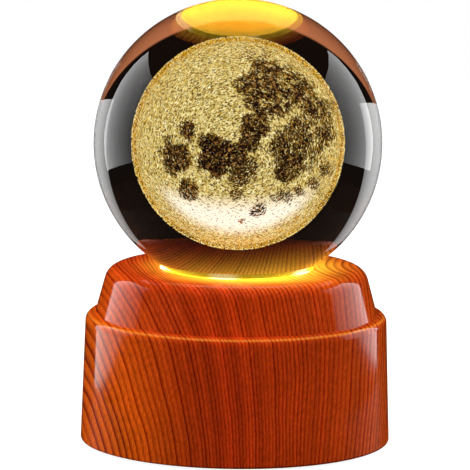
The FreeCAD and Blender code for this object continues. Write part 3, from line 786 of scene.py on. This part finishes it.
# %% [markdown]
# ## Wood: light on its top
# Light leaks out between ball and seat and soaks into the top of the wood. It is drawn as emission that
# fades away from the seat, is strongest in front, and comes less through the late wood. So it stays on
# the wood when the ball is lifted, as the LEDs do.

# %% Wood: light on its top
glow_start_mm = 15.5
glow_reach_mm = 12.0
glow_centre = (2.0, 0, 0)
glow_curve = 1.4
top_mm = 36.9
top_fade_mm = (1.5, 0.3)
front_mm = (-9.0, -19.0)
glow_behind = 1.1
glow_in_front = 3.2

from_glow = add(tree, "VectorMath", {0: around, 1: glow_centre}, operation="DISTANCE").outputs["Value"]
nearness = add(tree, "MapRange", {
    "Value": from_glow, "From Min": glow_start_mm + glow_reach_mm, "From Max": glow_start_mm,
}).outputs["Result"]
soaked = add(tree, "Math", {0: nearness, 1: glow_curve}, operation="POWER").outputs[0]
on_top = add(tree, "MapRange", {
    "Value": wood_sides["Z"], "From Min": top_mm - top_fade_mm[0], "From Max": top_mm - top_fade_mm[1],
}).outputs["Result"]
in_front = add(tree, "MapRange", {
    "Value": wood_sides["Y"], "From Min": front_mm[0], "From Max": front_mm[1],
    "To Min": glow_behind, "To Max": glow_in_front,
}, interpolation_type="SMOOTHSTEP").outputs["Result"]
leak = add(tree, "Math", {0: latewood, 1: -1.2, 2: 1.7}, operation="MULTIPLY_ADD").outputs[0]
for share in (soaked, on_top, in_front):
    leak = add(tree, "Math", {0: leak, 1: share}, operation="MULTIPLY").outputs[0]
warm = add(tree, "Mix", {
    "Factor": soaked, "A": wood_and_rim_highlight, "B": linear("#FFC030"),
}, data_type="RGBA").outputs["Result"]
tree.links.new(warm, shader.inputs["Emission Color"])
tree.links.new(leak, shader.inputs["Emission Strength"])
dress(wood, "wooden_base")

# %% [markdown]
# ## Seat ring
# The LEDs shine through a frosted disc and a translucent silicone ring into the ball. Both glow, so both
# get emission in the colour of warm white LEDs. The ring glows most under the ball, which mirrors that
# part in its top as a yellow disc. Outside the ball the ring is dimmer, and brighter over each LED, which
# gives the row of sparks along the ball's foot.

# %% Seat ring
led_count = 5
led_turn = -0.11
contact_mm = 13.7
foot_edge_mm = (0.3, 0.7)
glow_under_ball = 8.5
glow_outside = 1.0
spark_start = 0.2
spark_gain = 1.5
milk_mm = 2.0

# Moulded silicone: soft, milky and glossy, it glows evenly with hot spots over the LEDs.
silicone, tree, shader, place = new_material("Translucent moulded silicone, lit warm")
turn = add(tree, "TexGradient", {"Vector": place}, gradient_type="RADIAL").outputs["Fac"]
spot_angle = add(tree, "Math", {
    0: turn, 1: led_count * 2 * math.pi, 2: led_turn * 2 * math.pi,
}, operation="MULTIPLY_ADD").outputs[0]
spot_wave = add(tree, "Math", {0: spot_angle}, operation="COSINE").outputs[0]
spot = add(tree, "MapRange", {
    "Value": spot_wave, "From Min": spark_start,
}, interpolation_type="SMOOTHSTEP").outputs["Result"]
flat_place = add(tree, "VectorMath", {0: place, 1: (1, 1, 0)}, operation="MULTIPLY").outputs[0]
ring_radius = add(tree, "VectorMath", {0: flat_place}, operation="LENGTH").outputs["Value"]
outside = add(tree, "MapRange", {
    "Value": ring_radius, "From Min": contact_mm + foot_edge_mm[0], "From Max": contact_mm + foot_edge_mm[1],
}).outputs["Result"]
spark = add(tree, "Math", {0: spot, 1: outside}, operation="MULTIPLY").outputs[0]
even_glow = add(tree, "MapRange", {
    "Value": outside, "To Min": glow_under_ball, "To Max": glow_outside,
}).outputs["Result"]
glow = add(tree, "Math", {0: spark, 1: spark_gain, 2: even_glow}, operation="MULTIPLY_ADD").outputs[0]
milk = add(tree, "TexNoise", {"Vector": place, "Scale": 1 / milk_mm, "Detail": 2.0}).outputs["Fac"]
milk_tone = add(tree, "ValToRGB", {"Fac": milk}, [(0.3, "#FFCC14"), (0.7, "#FFD62C")]).outputs["Color"]
spark_tone = add(tree, "Mix", {
    "Factor": spark, "A": milk_tone, "B": linear("#FFE9B0"),
}, data_type="RGBA").outputs["Result"]
ring_light = add(tree, "Mix", {
    "Factor": outside, "A": linear("#FFC034"), "B": spark_tone,
}, data_type="RGBA").outputs["Result"]
tree.links.new(ring_light, shader.inputs["Emission Color"])
tree.links.new(milk_tone, shader.inputs["Base Color"])
tree.links.new(glow, shader.inputs["Emission Strength"])
shader.inputs["Roughness"].default_value = 0.35
dress(silicone, "seat_ring")

# %% [markdown]
# ## Light diffuser
# The disc over the LEDs is acrylic that was sand-blasted, so that no single LED shows through it. Fine
# noise between two close tones gives its grain.

# %% Light diffuser
frost_mm = 0.4

# Sand-blasted acrylic: an even, bright, slightly grainy light.
acrylic, tree, shader, place = new_material("Frosted acrylic, lit warm")
frost = add(tree, "TexNoise", {"Vector": place, "Scale": 1 / frost_mm, "Detail": 2.0}).outputs["Fac"]
frost_tone = add(tree, "ValToRGB", {"Fac": frost}, [(0.3, "#FFCC50"), (0.7, "#FFDC84")]).outputs["Color"]
tree.links.new(frost_tone, shader.inputs["Emission Color"])
tree.links.new(frost_tone, shader.inputs["Base Color"])
shader.inputs["Emission Strength"].default_value = 1.1
shader.inputs["Roughness"].default_value = 0.6
dress(acrylic, "light_diffuser")

# %% [markdown]
# ## Moulded plastics and rubber
# Cover, panel, switch and socket tongue are moulded ABS with a fine spark-eroded texture, which scatters
# light and makes the black look grey at the edges. One recipe serves them all: base tone from noise, a
# bump at the size of the texture, and a roughness. The texture is about 0.1 mm on the real part and is
# drawn at 0.25 mm so that it shows. Boards, chips and leads take the same recipe with their own tones and
# a lower relief.

# %% Plastics and rubber
def moulded(name, dark, pale, grit_mm, roughness, relief_mm):
    """Moulded material: two close tones, a grit size, a roughness and the height of its relief."""
    material, tree, shader, place = new_material(name)
    grit = add(tree, "TexNoise", {"Vector": place, "Scale": 1 / grit_mm, "Detail": 3.0}).outputs["Fac"]
    tone = add(tree, "ValToRGB", {"Fac": grit}, [(0.35, dark), (0.65, pale)]).outputs["Color"]
    bump = add(tree, "Bump", {"Height": grit, "Strength": 0.4, "Distance": relief_mm * MM})
    tree.links.new(tone, shader.inputs["Base Color"])
    tree.links.new(bump.outputs["Normal"], shader.inputs["Normal"])
    shader.inputs["Roughness"].default_value = roughness
    return material


dress(moulded("Spark-textured black ABS", "#151516", "#1F1F21", 0.25, 0.55, 0.05),
      "bottom_cover", "rear_panel", "switch_body", "usb_socket_tongue")
dress(moulded("Satin black ABS", "#1C1C1E", "#262628", 0.35, 0.35, 0.02), "button_cap")
dress(moulded("White moulded ABS", "#DCDAD2", "#E8E6E0", 0.3, 0.45, 0.03), "reflector_ring", "switch_plunger")
dress(moulded("Matt black rubber", "#1A1A1A", "#262524", 0.5, 0.85, 0.06), "rubber_feet")
dress(moulded("Moulded black epoxy", "#0E0E0F", "#18181A", 0.2, 0.6, 0.02), "led_resistors", "control_chips")
dress(moulded("White solder mask", "#DEDED8", "#EAEAE4", 0.4, 0.3, 0.01), "led_board")
dress(moulded("Green solder mask", "#0E3A1C", "#165028", 0.4, 0.3, 0.01), "control_board")
dress(moulded("Yellow LED phosphor in silicone", "#E8C040", "#F4D868", 0.2, 0.3, 0.01), "led_chips")
dress(moulded("Red PVC insulation", "#8C1410", "#A81C16", 0.5, 0.4, 0.01), "lead_red")
dress(moulded("Black PVC insulation", "#101010", "#1A1A1A", 0.5, 0.4, 0.01), "lead_black")

# %% [markdown]
# ## Plated steel
# Screws are zinc-plated and the socket shell is tin-plated: bright metal with faint drawing marks. A
# metal keeps the default IOR, so only its colour, metallic and roughness are set. The marks are noise
# that is stretched along the piece.

# %% Plated steel
mark_width = 0.12
mark_length = 2.5
gloss_spread = 0.08


def plated(name, dark, pale, roughness):
    """Plated sheet or wire with drawing marks along Y."""
    material, tree, shader, place = new_material(name)
    mark_rate = (1 / mark_width, 1 / mark_length, 1 / mark_width)
    drawn = add(tree, "VectorMath", {0: place, 1: mark_rate}, operation="MULTIPLY").outputs[0]
    marks = add(tree, "TexNoise", {"Vector": drawn, "Scale": 1.0, "Detail": 2.0}).outputs["Fac"]
    tone = add(tree, "ValToRGB", {"Fac": marks}, [(0.3, dark), (0.7, pale)]).outputs["Color"]
    gloss = add(tree, "MapRange", {
        "Value": marks, "To Min": roughness - gloss_spread, "To Max": roughness + gloss_spread,
    }).outputs["Result"]
    tree.links.new(tone, shader.inputs["Base Color"])
    tree.links.new(gloss, shader.inputs["Roughness"])
    shader.inputs["Metallic"].default_value = 1.0
    return material


dress(plated("Zinc-plated steel", "#A8AAB0", "#C4C6CC", 0.35),
      "led_board_screws", "bottom_cover_screws", "control_board_screws")
dress(plated("Tin-plated steel", "#B4B4B4", "#CFCFCD", 0.28), "usb_socket_shell")
